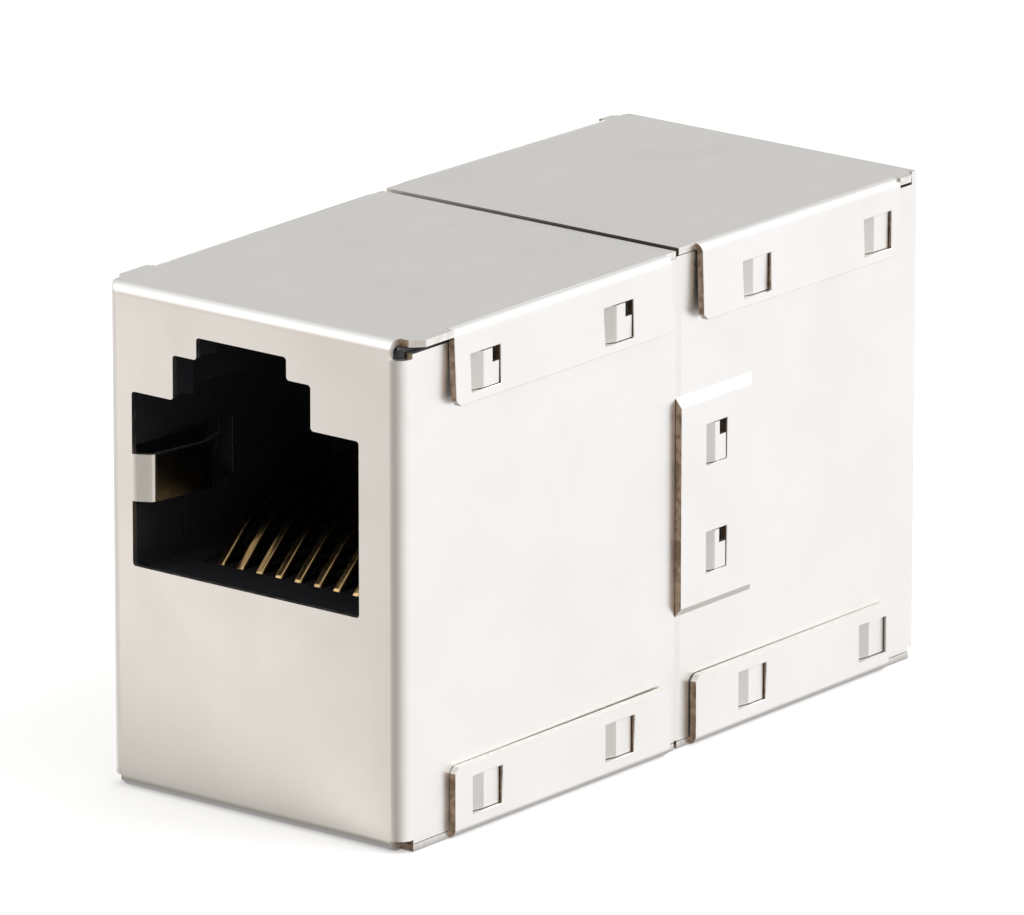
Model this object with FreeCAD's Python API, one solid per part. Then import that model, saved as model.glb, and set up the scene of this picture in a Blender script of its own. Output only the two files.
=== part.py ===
import FreeCAD
import Part

import math
import os
from collections import namedtuple

from FreeCAD import Vector

# In-line coupler for two 8-contact modular plugs: two folded sheet shells, joined
# end to end, over two jacks that stand on one circuit board.
# Millimetres. +Y runs from the front port to the rear port, +Z is up, and the
# origin is the middle of the underside. Each half is drawn with its port face on
# the plane y = 0 and its inside towards +Y, and is then put in its place.

# Whole object
OVERALL_LENGTH = 35.0

# Folded sheet
SHEET = 0.3
LAYER_GAP = 0.02                # play between two layers that lie on each other
SHELL_WIDTH = 15.4              # over the side panels
SHELL_HEIGHT = 21.4
SIDE_BEND = 0.65                # outside radius, front panel to side panels
END_BEND = 0.5                  # outside radius, front panel to top and bottom
FLAP_BEND = 0.4                 # outside radius, top and bottom to their flaps
PANEL_OUTER = SHELL_WIDTH / 2
PANEL_INNER = PANEL_OUTER - SHEET
FLAP_INNER = PANEL_OUTER + LAYER_GAP
FLAP_OUTER = FLAP_INNER + SHEET
CEILING = SHELL_HEIGHT - SHEET
RELIEF_WIDTH = 0.64             # corner reliefs of the front panel
RELIEF_TOP = 0.74
RELIEF_BOTTOM = 0.5
RELIEF_DEPTH = 0.72
CORNER_OVERLAP = 0.05           # of a closed corner, into the sheet around it
TOP_SLIT = 0.24                 # under the top plate, ahead of its flaps
FLAP_SLIT = 0.1                 # under the top plate, behind its flaps
PLATE_PLAY = 0.03               # elsewhere between both plates and the side panels
TOP_LIP = 8.0                   # half width of the top plate ahead of its flaps
TOP_LIP_CORNER = 0.5            # clipped corners of that width, next to the level bend
END_HALF_WIDTH = 7.65           # half width of both plates at the seam

# Flaps of the top and bottom, with windows that snap over lances of the side panels.
# They spring apart towards the seam, and so does the top.
FLAP_CORNER = 0.25
WINDOW_LENGTH = 1.9
WINDOW_HEIGHT = 1.6
LANCE_SIDE_GAP = 0.03
LANCE_END_GAP = 0.06
LANCE_ROOT = 0.5                # overlap with the panel that the lance grows from
LANCE_RAMP = 0.45               # share of the window's length on which a lance rises
LANCE_BEND = 0.45
LANCE_CORNER = (0.42, 0.6)      # along Y and Z, off the top of a tall lance's free end
TALL_RISE = 0.28
LOW_RISE = 0.18

# A flap runs from start to end along Y, and from the fold to its free edge. windows
# holds the Y at which each window starts, and window_low is their lower edge. flare is
# how far the free edge stands off, and rise how far the lances stand out.
Flap = namedtuple("Flap", "start end free_edge windows window_low flare rise")
# length is that of the side panels, and plate_length that of the top and bottom.
# spread is how far each flap leans out from its start to the seam, and lift is how far
# the top rises to it. closed_corners holds the sides, -1 for left and +1 for right, on
# which the top corner has no relief. free_end is +1 where the free ends of the lances
# point away from the port, else -1.
Shell = namedtuple("Shell",
                   "length plate_length top bottom spread lift closed_corners free_end")

FRONT_SHELL = Shell(
    length=17.95,
    plate_length=17.9,
    top=Flap(3.0, 17.2, 18.2, (4.0, 12.65), 18.6, 0.12, TALL_RISE),
    bottom=Flap(3.05, 17.2, 3.0, (4.2, 12.9), 0.78, 0.0, LOW_RISE),
    spread=0.08,
    lift=0.05,
    closed_corners=(-1,),
    free_end=1,
)
REAR_SHELL = Shell(
    length=17.02,
    plate_length=16.85,
    top=Flap(2.0, 15.7, 18.15, (2.7, 11.1), 18.57, 0.12, LOW_RISE),
    bottom=Flap(2.5, 16.0, 3.0, (2.7, 11.15), 0.83, 0.0, LOW_RISE),
    spread=0.04,
    lift=0.12,
    closed_corners=(-1, 1),
    free_end=-1,
)

# Tongue of the front shell, and the pocket pressed out of the rear shell around it.
# Its places along Y are counted from the front port's face.
TONGUE_LENGTH = 4.5
TONGUE_Z = (6.2, 14.7)
TONGUE_CORNER = 0.6
CATCH_START = 19.7
CATCH_LENGTH = 1.4
CATCH_HEIGHT = 1.75
CATCH_LOWS = (7.3, 11.95)
POCKET_END = 23.1
POCKET_Z = (5.75, 15.15)
POCKET_BEVEL = 0.38
SEAM_BEVEL = (0.35, 0.13)       # along Y and across X, on the rear side panels' edges

# Port opening, seen from outside with +X to the right
PORT_X = -0.43
PORT_WIDTH = 11.87
PORT_FLOOR = 9.6
PORT_CEILING = 17.0
LATCH_X = -0.58
SHOULDER_WIDTH = 7.2
SHOULDER_TOP = 18.9
NOTCH_WIDTH = 4.7
NOTCH_TOP = 19.85
PORT_CORNER = 0.15              # radius of the corners that are cut in the sheet
PORT_LEFT = PORT_X - PORT_WIDTH / 2
PORT_RIGHT = PORT_X + PORT_WIDTH / 2

# Grounding spring at the port's left edge: a strip of the front panel turned inwards.
# Its path is the middle of the sheet, across from the port's edge and in along Y.
SPRING_Z = (12.35, 14.35)
SPRING_PATH = ((-0.35, 0.15), (0.1, 0.15), (0.68, 0.48), (1.15, 3.35), (0.7, 4.65))
SPRING_BENDS = (0.5, 0.45, 1.4)

# Jack housing
HOUSING_HALF_WIDTH = PANEL_INNER - 0.04
HOUSING_LENGTH = 17.2
MOUTH_DEPTH = 1.35
MOUTH_FLARE = 0.12
HOUSING_EDGE = 0.4              # radius of the edges that lie in the shell's bends
CAVITY_DEPTH = 12.9
LATCH_ROOM_DEPTH = 9.4
LATCH_UNDERCUT = 0.7
SPRING_SLOT_WIDTH = 0.75
SPRING_SLOT_END = 6.4
SPRING_SLOT_MARGIN = 0.25
COMB_DEPTH = 1.1
COMB_Z = (11.6, 13.4)
PEG_RADIUS = 0.8
PEG_LENGTH = 1.4
PEG_X = 5.9
PEG_Y = 6.5

# Circuit board, and the tray that carries it
BOARD_TOP = 6.0
BOARD_THICKNESS = 1.6
BOARD_BOTTOM = BOARD_TOP - BOARD_THICKNESS
BOARD_WIDTH = 14.2
BOARD_LENGTH = 32.6
BOARD_CORNER = 0.8
PIN_HOLE_RADIUS = 0.42
PEG_HOLE_RADIUS = 0.86
TRAY_WIDTH = 14.6
TRAY_LENGTH = 34.0
TRAY_WALL = 1.0
TRAY_FLOOR = 1.4
TRAY_RIBS = (-13.6, 13.6)

# Contacts: stamped strips, which lie as springs in the cavity's floor
CONTACT_COUNT = 8
CONTACT_PITCH = 1.016
CONTACT_X = -0.5
CONTACT_WIDTH = 0.42
CONTACT_THICKNESS = 0.32
RUN_HEIGHT = 8.55               # axis of the stretch under the cavity's floor
PIN_TIP = 3.5
PIN_ROWS = (9.4, 11.94)         # neighbours use the two rows in turn
SPRING_FOOT_Y = 2.0
SPRING_KNEE = (4.75, 11.05)
SPRING_CREST = (6.7, 11.7)
SPRING_TIP = (13.3, 12.45)
CONTACT_BENDS = (0.6, 0.66, 2.4, 4.0)

# Contact carrier: the insert in the cavity's floor that holds the contacts
CARRIER_Y = (2.35, 13.6)
CARRIER_BESIDE = 0.75           # beyond the axes of the outermost contacts
CARRIER_TOP = 9.45
CARRIER_PLAY = 0.03
CONTACT_SLOT = 0.5
PIN_CORNER_ROOM = 0.45          # beside a pin hole, for the contact's bend into it


def block(x_range, y_range, z_range):
    """Box between pairs of coordinates."""
    low = Vector(x_range[0], y_range[0], z_range[0])
    return Part.makeBox(x_range[1] - x_range[0], y_range[1] - y_range[0],
                        z_range[1] - z_range[0], low)


def mid_range(middle, width):
    """Pair of coordinates either side of a middle."""
    return (middle - width / 2, middle + width / 2)


def both_sides(shapes):
    """The shapes, and their mirror images across the middle plane."""
    mirror_images = [shape.mirror(Vector(0, 0, 0), Vector(1, 0, 0)) for shape in shapes]
    return list(shapes) + mirror_images


def joined(shapes):
    """One solid from shapes that touch or overlap, with no seams left in its faces."""
    return shapes[0].multiFuse(list(shapes[1:])).removeSplitter()


def prism(outline, depth):
    """Prism from the corners of a flat outline, along a vector."""
    corners = [Vector(*point) for point in outline]
    face = Part.Face(Part.makePolygon(corners + corners[:1]))
    return face.extrude(Vector(*depth))


def upright_prism(outline, z_range):
    """Upright prism from (x, y) corners, between two heights."""
    return prism([(x, y, z_range[0]) for x, y in outline], (0, 0, z_range[1] - z_range[0]))


def tapered(base, top):
    """Solid between two flat outlines of equally many corners, joined by flat sides."""
    base = [Vector(*point) for point in base]
    top = [Vector(*point) for point in top]
    loops = [base, top]
    for near, far in zip(range(-1, len(base) - 1), range(len(base))):
        loops.append([base[near], base[far], top[far], top[near]])
    faces = [Part.Face(Part.makePolygon(loop + loop[:1])) for loop in loops]
    return Part.Solid(Part.Shell(faces))


def rounded_path(points, radii):
    """Wire through the points, with a tangent arc of its own radius at each inner one."""
    points = [Vector(*point) for point in points]
    edges = []
    start = points[0]
    for before, corner, after, radius in zip(points, points[1:], points[2:], radii):
        incoming = (corner - before).normalize()
        outgoing = (after - corner).normalize()
        inward = (outgoing - incoming).normalize()
        half_turn = incoming.getAngle(outgoing) / 2
        setback = radius * math.tan(half_turn)
        arc_start = corner - incoming * setback
        arc_end = corner + outgoing * setback
        arc_middle = corner + inward * (radius / math.cos(half_turn) - radius)
        edges.append(Part.LineSegment(start, arc_start).toShape())
        edges.append(Part.Arc(arc_start, arc_middle, arc_end).toShape())
        start = arc_end
    edges.append(Part.LineSegment(start, points[-1]).toShape())
    return Part.Wire(edges)


def folded_strip(points, outer_radii, width, thickness=SHEET):
    """Strip of even thickness around a flat path, extruded along its fold lines."""
    middle = rounded_path(points, [radius - thickness / 2 for radius in outer_radii])
    halves = [middle.makeOffset2D(offset, fill=True, openResult=True)
              for offset in (thickness / 2, -thickness / 2)]
    return joined([half.extrude(Vector(*width)) for half in halves])


def port_outline(y, grow=0.0):
    """Corners of the stepped port opening on the plane at y, grown by a margin."""
    shoulder = mid_range(LATCH_X, SHOULDER_WIDTH + 2 * grow)
    notch = mid_range(LATCH_X, NOTCH_WIDTH + 2 * grow)
    steps = (
        (PORT_LEFT - grow, PORT_FLOOR - grow), (PORT_RIGHT + grow, PORT_FLOOR - grow),
        (PORT_RIGHT + grow, PORT_CEILING + grow), (shoulder[1], PORT_CEILING + grow),
        (shoulder[1], SHOULDER_TOP + grow), (notch[1], SHOULDER_TOP + grow),
        (notch[1], NOTCH_TOP + grow), (notch[0], NOTCH_TOP + grow),
        (notch[0], SHOULDER_TOP + grow), (shoulder[0], SHOULDER_TOP + grow),
        (shoulder[0], PORT_CEILING + grow), (PORT_LEFT - grow, PORT_CEILING + grow),
    )
    return [(x, y, z) for x, z in steps]


def leant(shape, side_place, angle):
    """The shape turned about an upright line through a place (x, y), in degrees."""
    turned = shape.copy()
    turned.rotate(Vector(*side_place, 0), Vector(0, 0, 1), angle)
    return turned


def lifted(shape, shell):
    """The shape turned about the top's fold, so that the top rises to its seam end."""
    turned = shape.copy()
    turned.rotate(Vector(0, SHEET / 2, SHELL_HEIGHT - SHEET / 2), Vector(1, 0, 0),
                  math.degrees(math.atan(shell.lift / shell.plate_length)))
    return turned


def side_wrap(length):
    """Front panel and side panels, folded about the two upright bends."""
    middle = PANEL_INNER + SHEET / 2
    path = [(side * middle, y, RELIEF_BOTTOM)
            for side, y in ((1, length), (1, SHEET / 2), (-1, SHEET / 2), (-1, length))]
    height = SHELL_HEIGHT - RELIEF_TOP - RELIEF_BOTTOM
    return folded_strip(path, (SIDE_BEND, SIDE_BEND), (0, 0, height))


def end_wrap(shell):
    """Front panel, top and bottom, folded about the two level bends."""
    half_width = PANEL_OUTER - RELIEF_WIDTH
    fold = Vector(-half_width, SHEET / 2, SHELL_HEIGHT - SHEET / 2)
    reach = shell.plate_length - SHEET / 2
    angle = math.atan(shell.lift / shell.plate_length)
    seam_end = fold + Vector(0, reach * math.cos(angle), reach * math.sin(angle))
    path = [seam_end, fold, (-half_width, SHEET / 2, SHEET / 2),
            (-half_width, shell.plate_length, SHEET / 2)]
    return folded_strip(path, (END_BEND, END_BEND), (2 * half_width, 0, 0))


def closed_corner(side):
    """Top corner of the front panel in which both bends run on until they meet."""
    rounded = []
    for inset in (0.0, SHEET):
        room = block((-PANEL_OUTER + inset, 0), (inset, 2 * RELIEF_DEPTH),
                     (SHELL_HEIGHT - 3 * RELIEF_TOP, SHELL_HEIGHT - inset))
        upright = [edge for edge in room.Edges
                   if edge.BoundBox.YMax < inset + 0.01 and edge.BoundBox.XMax < -SHEET]
        level = [edge for edge in room.Edges
                 if edge.BoundBox.YMax < inset + 0.01
                 and edge.BoundBox.ZMin > SHELL_HEIGHT - RELIEF_TOP]
        rounded.append(room.makeFillet(SIDE_BEND - inset, upright).common(
            room.makeFillet(END_BEND - inset, level)))
    corner = block((-PANEL_OUTER, -PANEL_OUTER + RELIEF_WIDTH + CORNER_OVERLAP),
                   (0, RELIEF_DEPTH + CORNER_OVERLAP),
                   (SHELL_HEIGHT - RELIEF_TOP - CORNER_OVERLAP, SHELL_HEIGHT))
    left = rounded[0].cut(rounded[1]).common(corner)
    return left if side < 0 else left.mirror(Vector(0, 0, 0), Vector(1, 0, 0))


def side_panel(shell):
    """Right side panel behind the reliefs, whose upper edge follows the top."""
    flap = shell.top
    low = SHEET + PLATE_PLAY
    edge = ((shell.length, top_height(shell, shell.length) - PLATE_PLAY),
            (flap.end, top_height(shell, flap.end) - PLATE_PLAY),
            (flap.end, CEILING - FLAP_SLIT), (flap.start + SHEET, CEILING - FLAP_SLIT),
            (flap.start + SHEET, CEILING - TOP_SLIT), (RELIEF_DEPTH, CEILING - TOP_SLIT))
    outline = ((RELIEF_DEPTH, low), (shell.length, low), *edge)
    return prism([(PANEL_INNER, y, z) for y, z in outline], (SHEET, 0, 0))


def top_height(shell, y):
    """Height of the top plate's underside."""
    return CEILING + shell.lift * y / shell.plate_length


def plate(shell, flap, z_range, lip, start, corner=0.0):
    """Top or bottom plate from its start, which may be wider ahead of its flaps."""
    outline = ((-lip + corner, start), (lip - corner, start), (lip, start + corner),
               (lip, flap.start), (-lip, flap.start), (-lip, start + corner))
    ahead = upright_prism(outline if corner else outline[:2] + outline[3:5], z_range)
    seam_half = END_HALF_WIDTH + lean_slope(shell, flap) * (shell.plate_length - flap.start)
    corners = ((-END_HALF_WIDTH, flap.start), (END_HALF_WIDTH, flap.start),
               (seam_half, shell.plate_length), (-seam_half, shell.plate_length))
    return [ahead, upright_prism(corners, z_range)]


def lean_slope(shell, flap):
    """How far a flap leans out for each millimetre towards the seam."""
    return shell.spread / (flap.end - flap.start)


def lean(shape, shell, flap):
    """The shape turned out with a right flap, about the flap's start."""
    angle = math.degrees(math.atan(lean_slope(shell, flap)))
    return leant(shape, (END_HALF_WIDTH, flap.start), -angle)


def flap_panel(shell, flap, level, toward):
    """Right flap from its bend at a level of the plate to its free edge.

    toward is -1 for the flap that hangs from the top, +1 for the one that stands on the
    bottom.
    """
    middle_x = FLAP_INNER + SHEET / 2
    fold = level + toward * SHEET / 2
    panel = folded_strip([(END_HALF_WIDTH - SHEET, flap.start, fold),
                          (middle_x, flap.start, fold),
                          (middle_x + flap.flare, flap.start, flap.free_edge)],
                         (FLAP_BEND,), (0, flap.end - flap.start, 0))
    clips = []
    for end, inward in ((flap.start, 1), (flap.end, -1)):
        past = FLAP_CORNER + SHEET
        corners = ((end - inward * SHEET, flap.free_edge + toward * SHEET),
                   (end + inward * past, flap.free_edge + toward * SHEET),
                   (end - inward * SHEET, flap.free_edge - toward * past))
        clips.append(prism([(PANEL_OUTER, y, z) for y, z in corners], (1, 0, 0)))
    return lean(panel.cut(clips), shell, flap)


def window(start, low, length, height):
    """Cutter for one window of a flap or pocket, through its sheet."""
    return block((PANEL_OUTER + LAYER_GAP / 2, FLAP_OUTER + SHEET), (start, start + length),
                 (low, low + height))


def lance(start, length, z_range, rise, free_end):
    """Strip of a side panel bent outwards under a window, free at one end.

    It rises by a ramp from its root to a flat that faces the window.
    """
    root, tip = (start, start + length - LANCE_END_GAP)
    if free_end < 0:
        root, tip = (start + length, start + LANCE_END_GAP)
    middle = PANEL_INNER + SHEET / 2
    crest = root + free_end * length * LANCE_RAMP
    path = [(middle, root - free_end * LANCE_ROOT, z_range[0]), (middle, root, z_range[0]),
            (middle + rise, crest, z_range[0]), (middle + rise, tip, z_range[0])]
    strip = folded_strip(path, (LANCE_BEND, LANCE_BEND), (0, 0, z_range[1] - z_range[0]))
    if rise < TALL_RISE:
        return strip
    along, down = LANCE_CORNER
    corner = block((PANEL_INNER, PANEL_INNER + 1), mid_range(tip, 2 * along),
                   (z_range[1] - down, z_range[1] + SHEET))
    return strip.cut(corner)


def lance_hole(start, length, z_range):
    """Cutter for the hole that a lance leaves in its panel."""
    return block((PANEL_INNER - SHEET, PANEL_OUTER), (start, start + length), z_range)


def lances(starts, length, low, height, rise, free_end):
    """Lances under a row of windows, and the cutters for the holes that they leave."""
    z_range = (low + LANCE_SIDE_GAP, low + height - LANCE_SIDE_GAP)
    strips = [lance(start, length, z_range, rise, free_end) for start in starts]
    holes = [lance_hole(start, length, z_range) for start in starts]
    return strips, holes


def flap_cuts_and_lances(shell, flap):
    """Windows of a right flap, with the lances under them and the holes that these leave."""
    strips, cuts = [], []
    for start in flap.windows:
        rise = (flap.rise + flap.flare / 2
                + lean_slope(shell, flap) * (start - flap.start))
        lance_strips, holes = lances((start,), WINDOW_LENGTH, flap.window_low, WINDOW_HEIGHT,
                                     rise, shell.free_end)
        opening = window(start, flap.window_low, WINDOW_LENGTH, WINDOW_HEIGHT)
        strips += lance_strips
        cuts += holes + [lean(opening, shell, flap)]
    return strips, cuts


def port_cutter():
    """Cutter for the port in the front panel, with rounded corners."""
    port = prism(port_outline(-SHEET), (0, 3 * SHEET, 0))
    corners = [edge for edge in port.Edges if abs(edge.tangentAt(0).y) > 0.5]
    return port.makeFillet(PORT_CORNER, corners)


def grounding_spring():
    """Spring strip that leads from the panel's port edge into the cavity."""
    path = [(PORT_LEFT + across, inward, SPRING_Z[0]) for across, inward in SPRING_PATH]
    return folded_strip(path, SPRING_BENDS, (0, 0, SPRING_Z[1] - SPRING_Z[0]))


def shield_shell(shell, extra=(), extra_cuts=(), extra_strips=()):
    """One folded shell: panels, flaps, windows, port and spring, and lances for the flaps.

    extra holds right-hand shapes that are added before the holes are cut, and
    extra_strips right-hand lances that are added after them.
    """
    top = [*plate(shell, shell.top, (CEILING, SHELL_HEIGHT), TOP_LIP, RELIEF_DEPTH,
                  TOP_LIP_CORNER),
           *both_sides([flap_panel(shell, shell.top, SHELL_HEIGHT, -1)])]
    bottom = [*plate(shell, shell.bottom, (0.0, SHEET), PANEL_OUTER, RELIEF_DEPTH),
              *both_sides([flap_panel(shell, shell.bottom, 0.0, 1)])]
    corners = [closed_corner(side) for side in shell.closed_corners]
    sheet = joined([side_wrap(shell.length), end_wrap(shell), *corners,
                    *[lifted(piece, shell) for piece in top], *bottom,
                    *both_sides([side_panel(shell), *extra])])
    strips, cuts = list(extra_strips), list(extra_cuts)
    for flap in (shell.top, shell.bottom):
        flap_strips, flap_cuts = flap_cuts_and_lances(shell, flap)
        strips += flap_strips
        cuts += flap_cuts
    sheet = sheet.cut(both_sides(cuts) + [port_cutter()])
    return joined([sheet, grounding_spring(), *both_sides(strips)])


def tongue():
    """Right tongue of the front shell, in the plane of its side panel."""
    root = FRONT_SHELL.length - SHEET
    tip = FRONT_SHELL.length + TONGUE_LENGTH
    low, high = TONGUE_Z
    outline = [(PANEL_INNER, y, z) for y, z in (
        (root, low), (tip - TONGUE_CORNER, low), (tip, low + TONGUE_CORNER),
        (tip, high - TONGUE_CORNER), (tip - TONGUE_CORNER, high), (root, high))]
    return prism(outline, (SHEET, 0, 0))


def pocket_form(base_x, top_x, seam_y):
    """Raised form of the pocket between two planes across X, up to the seam.

    It has bevels at its end, top and bottom.
    """
    outlines = []
    for x, inset in ((base_x, 0.0), (top_x, POCKET_BEVEL)):
        start = OVERALL_LENGTH - POCKET_END + inset
        low = POCKET_Z[0] + inset
        high = POCKET_Z[1] - inset
        outlines.append([(x, start, low), (x, seam_y, low), (x, seam_y, high),
                         (x, start, high)])
    return tapered(*outlines)


def seam_bevels():
    """Cutters for the bevel along the rear side panel's edge, below and above the pocket."""
    along, across = SEAM_BEVEL
    edge = REAR_SHELL.length
    corners = ((PANEL_OUTER, edge - along), (PANEL_OUTER + across, edge),
               (PANEL_OUTER - across, edge))
    return [upright_prism(corners, z_range)
            for z_range in ((SHEET, POCKET_Z[0]), (POCKET_Z[1], CEILING))]


def front_shield_shell():
    """Front shell, with a tongue and its catches on each side."""
    catches, holes = [], []
    for low in CATCH_LOWS:
        strips, cuts = lances((CATCH_START,), CATCH_LENGTH, low, CATCH_HEIGHT, TALL_RISE, 1)
        catches += strips
        holes += cuts
    return shield_shell(FRONT_SHELL, [tongue()], holes, catches)


def rear_shield_shell():
    """Rear shell, with a windowed pocket on each side that takes the front one's tongue."""
    raised = pocket_form(PANEL_OUTER, FLAP_OUTER, REAR_SHELL.length)
    hollow = pocket_form(PANEL_INNER, FLAP_INNER, REAR_SHELL.length + SHEET)
    start = OVERALL_LENGTH - CATCH_START - CATCH_LENGTH
    windows = [window(start, low, CATCH_LENGTH, CATCH_HEIGHT)
               for low in CATCH_LOWS]
    return shield_shell(REAR_SHELL, [raised], [hollow, *windows, *seam_bevels()])


def contact_axes():
    """X of each contact, from left to right."""
    first = CONTACT_X - CONTACT_PITCH * (CONTACT_COUNT - 1) / 2
    return [first + number * CONTACT_PITCH for number in range(CONTACT_COUNT)]


def carrier_block(play):
    """Room of the contact carrier in the housing, or with play its own outside."""
    axes = contact_axes()
    return block((axes[0] - CARRIER_BESIDE + play, axes[-1] + CARRIER_BESIDE - play),
                 (CARRIER_Y[0] + play, CARRIER_Y[1] - play), (BOARD_TOP, PORT_FLOOR))


def jack_housing():
    """Moulded body around one plug cavity, open to the contact carrier below."""
    body = block((-HOUSING_HALF_WIDTH, HOUSING_HALF_WIDTH), (SHEET, HOUSING_LENGTH),
                 (BOARD_TOP, CEILING))
    in_bends = [edge for edge in body.Edges
                if edge.BoundBox.YMax < 2 * SHEET and edge.BoundBox.ZMax > BOARD_TOP + SHEET]
    body = body.makeFillet(HOUSING_EDGE, in_bends)
    mouth = tapered(port_outline(SHEET, grow=MOUTH_FLARE), port_outline(MOUTH_DEPTH))
    plug_room = block((PORT_LEFT, PORT_RIGHT), (MOUTH_DEPTH, CAVITY_DEPTH),
                      (PORT_FLOOR, PORT_CEILING))
    latch_room = block(mid_range(LATCH_X, SHOULDER_WIDTH + 2 * LATCH_UNDERCUT),
                       (MOUTH_DEPTH, LATCH_ROOM_DEPTH), (PORT_CEILING, NOTCH_TOP))
    spring_slot = block((PORT_LEFT - SPRING_SLOT_WIDTH, PORT_LEFT), (SHEET, SPRING_SLOT_END),
                        (SPRING_Z[0] - SPRING_SLOT_MARGIN, SPRING_Z[1] + SPRING_SLOT_MARGIN))
    comb = [block(mid_range(x, CONTACT_SLOT), (CAVITY_DEPTH, CAVITY_DEPTH + COMB_DEPTH), COMB_Z)
            for x in contact_axes()]
    cavity = [mouth, plug_room, latch_room, spring_slot,
              carrier_block(0.0), *comb]
    pegs = [Part.makeCylinder(PEG_RADIUS, PEG_LENGTH, Vector(side * PEG_X, PEG_Y, BOARD_TOP),
                              Vector(0, 0, -1)) for side in (-1, 1)]
    return joined([body, *pegs]).cut(cavity)


def contact_carrier():
    """Insert with a slot for each contact, and a hole for its pin at the slot's end."""
    low = RUN_HEIGHT - CONTACT_THICKNESS / 2
    slots = []
    for x, pin_y in zip(contact_axes(), pin_rows()):
        across = mid_range(x, CONTACT_SLOT)
        slot_end = pin_y + CONTACT_SLOT / 2
        slots.append(block(across, (CARRIER_Y[0], slot_end), (low, PORT_FLOOR)))
        slots.append(block(across, (pin_y - CONTACT_SLOT / 2 - PIN_CORNER_ROOM, slot_end),
                           (BOARD_TOP, PORT_FLOOR)))
    lowered = block((-PANEL_INNER, PANEL_INNER), (0, HOUSING_LENGTH), (CARRIER_TOP, PORT_FLOOR))
    return carrier_block(CARRIER_PLAY).cut(slots + [lowered])


def pin_rows():
    """Y of each contact's pin, in the contacts' order."""
    return [PIN_ROWS[number % len(PIN_ROWS)] for number in range(CONTACT_COUNT)]


def contact(x, pin_y):
    """Stamped spring: pin, run to the port, turn, and springy rise into the cavity."""
    side = x - CONTACT_WIDTH / 2
    points = [(side, pin_y, PIN_TIP), (side, pin_y, RUN_HEIGHT),
              (side, SPRING_FOOT_Y, RUN_HEIGHT), (side, *SPRING_KNEE), (side, *SPRING_CREST),
              (side, *SPRING_TIP)]
    return folded_strip(points, CONTACT_BENDS, (CONTACT_WIDTH, 0, 0), CONTACT_THICKNESS)


def circuit_board():
    """Board with rounded corners and holes for both jacks' pins and pegs."""
    board = block(mid_range(0, BOARD_WIDTH), mid_range(0, BOARD_LENGTH),
                  (BOARD_BOTTOM, BOARD_TOP))
    corners = [edge for edge in board.Edges if abs(edge.tangentAt(0).z) > 0.5]
    board = board.makeFillet(BOARD_CORNER, corners)
    holes = [(x, y, PIN_HOLE_RADIUS) for x, y in zip(contact_axes(), pin_rows())]
    holes += [(side * PEG_X, PEG_Y, PEG_HOLE_RADIUS) for side in (-1, 1)]
    drills = []
    for x, y, radius in holes:
        from_middle = y - OVERALL_LENGTH / 2
        for half in (1, -1):
            drills.append(Part.makeCylinder(radius, BOARD_THICKNESS,
                                            Vector(half * x, half * from_middle, BOARD_BOTTOM)))
    return board.cut(drills)


def board_tray():
    """Moulded tray in the bottom of both shells, which holds the board on its walls."""
    outside = block(mid_range(0, TRAY_WIDTH), mid_range(0, TRAY_LENGTH), (SHEET, BOARD_BOTTOM))
    inside = block(mid_range(0, TRAY_WIDTH - 2 * TRAY_WALL),
                   mid_range(0, TRAY_LENGTH - 2 * TRAY_WALL), (TRAY_FLOOR, BOARD_BOTTOM))
    ribs = [block(mid_range(0, TRAY_WIDTH), mid_range(y, TRAY_WALL), (TRAY_FLOOR, BOARD_BOTTOM))
            for y in TRAY_RIBS]
    return joined([outside.cut(inside), *ribs])


def in_front(shape):
    """The shape at the front half's place."""
    placed = shape.copy()
    placed.translate(Vector(0, -OVERALL_LENGTH / 2, 0))
    return placed


def in_rear(shape):
    """The shape turned round to the rear half's place."""
    placed = in_front(shape)
    placed.rotate(Vector(0, 0, 0), Vector(0, 0, 1), 180)
    return placed


def subcomponents():
    """Every piece in its place, by name."""
    housing = jack_housing()
    carrier = contact_carrier()
    pieces = {
        "front_shield_shell": in_front(front_shield_shell()),
        "rear_shield_shell": in_rear(rear_shield_shell()),
        "front_jack_housing": in_front(housing),
        "rear_jack_housing": in_rear(housing),
        "front_contact_carrier": in_front(carrier),
        "rear_contact_carrier": in_rear(carrier),
        "circuit_board": circuit_board(),
        "board_tray": board_tray(),
    }
    for number, (x, pin_y) in enumerate(zip(contact_axes(), pin_rows()), start=1):
        strip = contact(x, pin_y)
        pieces[f"front_contact_{number}"] = in_front(strip)
        pieces[f"rear_contact_{number}"] = in_rear(strip)
    return pieces


os.makedirs("parts", exist_ok=True)
for name, shape in subcomponents().items():
    if shape.ShapeType != "Solid":
        (shape,) = shape.Solids
    shape.exportStep(f"parts/{name}.step")
    box = shape.BoundBox
    print(f"{name}: valid {shape.isValid()}, {shape.Volume:.2f} mm3, "
          f"x {box.XMin:.2f}..{box.XMax:.2f}, y {box.YMin:.2f}..{box.YMax:.2f}, "
          f"z {box.ZMin:.2f}..{box.ZMax:.2f}")
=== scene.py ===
"""Studio scene of an inline coupler for two network plugs.

Two folded shells of plated sheet steel meet end to end over two black moulded jacks,
whose gilt springs stand on one circuit board. Lengths are in millimetres unless a
name says metres, and the scene itself is in metres.
"""

import logging
import math
from dataclasses import dataclass, field
from enum import Enum, IntEnum
from typing import Iterable, Sequence

import bmesh
import bpy
from mathutils import Matrix, Vector
from mathutils.bvhtree import BVHTree

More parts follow.
